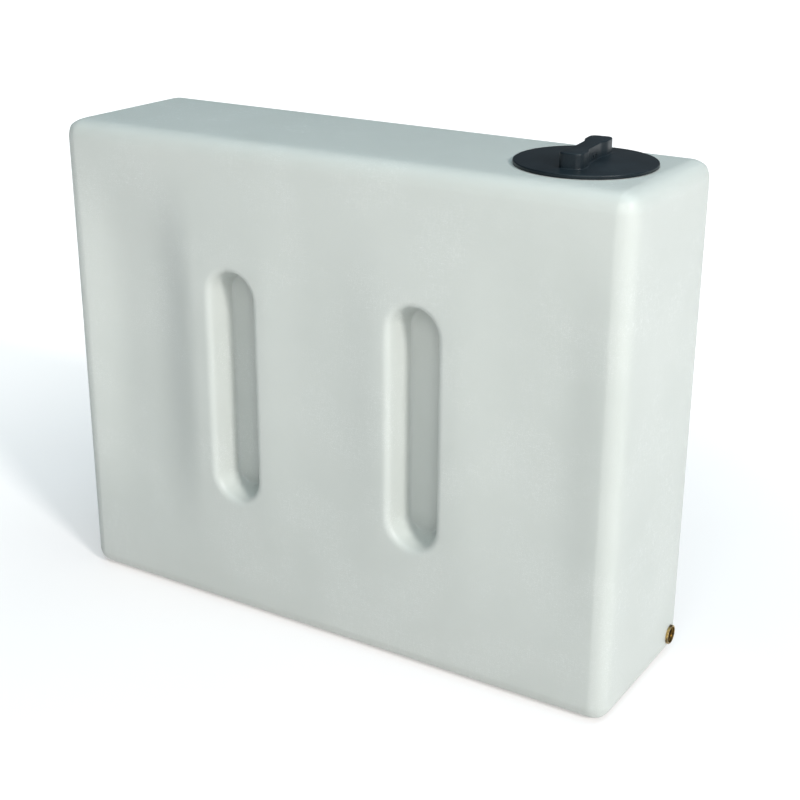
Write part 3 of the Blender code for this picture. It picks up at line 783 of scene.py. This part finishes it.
for first, last in ((END_POCKET, whole[1]), (whole[0], -END_POCKET)):
    outline = grip_outline(first, last, GRIP_SKIN)
    combine(disc, stacked("grip_pocket", [(outline, LID_UNDER - CUT_DEPTH), (outline, pocket_top)], on_lid))
breather = [(0.0, BREATHER_REACH), (BREATHER_R, BREATHER_REACH), (BREATHER_R, -BREATHER_REACH),
            (0.0, -BREATHER_REACH)]
for y in (-BREATHER_Y, BREATHER_Y):
    hole = turned("breather_hole", breather, 24)
    hole.matrix_world = on_lid @ Matrix.Translation((0.0, y, BREATHER_Z)) @ facing_out
    combine(disc, hole)
screw_hole = [(0.0, VENT_HOLE_TOP), (VENT_HOLE_R, VENT_HOLE_TOP), (VENT_HOLE_R, VENT_HOLE_FOOT),
              (0.0, VENT_HOLE_FOOT)]
for x in (-VENT_SCREW_X, VENT_SCREW_X):
    combine(disc, turned("vent_screw_hole", screw_hole, 20, neck + Vector((x, 0.0, 0.0))))
soften(disc)
lid_plastic = moulded_plastic("black_lid_plastic", (0.003, 0.007, 0.010), (0.005, 0.011, 0.015), 0.34, 1500.0,
                              25.0, 0.3, 0.10, 0.25)
covered(disc, lid_plastic, "lid", "black_polypropylene", "lid")

skirt_profile = [(SKIRT_R, LID_UNDER - WELD_GAP), (SKIRT_R, SKIRT_FOOT + SKIRT_EDGE),
                 (SKIRT_R - SKIRT_EDGE, SKIRT_FOOT), (SKIRT_BORE_R + SKIRT_EDGE, SKIRT_FOOT),
                 (SKIRT_BORE_R, SKIRT_FOOT + SKIRT_EDGE), (SKIRT_BORE_R, LID_UNDER - WELD_GAP)]
skirt = turned("lid_skirt_ring", skirt_profile, 128, neck)
combine(skirt, thread("lid_thread", SKIRT_R, LID_CREST_R, LID_THREAD_FOOT, LID_TURNS, PITCH, RIDGE_BASE,
                      RIDGE_CREST, neck), "UNION")
soften(skirt)
covered(skirt, lid_plastic, "lid", "black_polypropylene", "lid_skirt")

# ---------------------------------------------------------------- Outlet
# A turned brass socket is moulded into the outlet end near the base. Its chamfered collar stands
# proud of the wall, and its bore has a fine female pipe thread.
COLLAR_R = 0.0158
COLLAR_PROUD = outlet_high.x - high.x
BODY_R = 0.0150
BORE_R = 0.0122
THREAD_DEPTH = 0.0009
PIPE_PITCH = 0.00181
OUTLET_DEPTH = high.x - outlet_low.x
COLLAR_CHAMFER = 0.0008
COLLAR_GAP = 0.0003
BORE_STEP = -0.0205
THREADED_FOOT = -0.0195
PIPE_THREAD_FOOT = -0.0185
PIPE_TURNS = 11.0
PIPE_ROOT_R = BORE_R + THREAD_DEPTH
socket_profile = [(COLLAR_R - COLLAR_CHAMFER, COLLAR_PROUD), (COLLAR_R, COLLAR_PROUD - COLLAR_CHAMFER),
                  (COLLAR_R, COLLAR_GAP), (BODY_R, COLLAR_GAP), (BODY_R, -OUTLET_DEPTH),
                  (BORE_R, -OUTLET_DEPTH), (BORE_R, BORE_STEP), (PIPE_ROOT_R, THREADED_FOOT),
                  (PIPE_ROOT_R, COLLAR_PROUD - 0.0002), (PIPE_ROOT_R + 0.0003, COLLAR_PROUD)]
socket = turned("brass_outlet", socket_profile, 72)
socket.matrix_world = Matrix.Translation(outlet) @ facing_out
combine(socket, thread("pipe_thread", PIPE_ROOT_R, BORE_R, PIPE_THREAD_FOOT, PIPE_TURNS, PIPE_PITCH,
                       PIPE_PITCH * 0.85, PIPE_PITCH * 0.15, outlet, facing_out), "UNION")
soften(socket, 30.0)
brass = metal("tarnished_brass", (0.56, 0.39, 0.14), (0.13, 0.09, 0.045), 0.30, 160.0, 700.0)
covered(socket, brass, "tank", "brass", "outlet_insert")
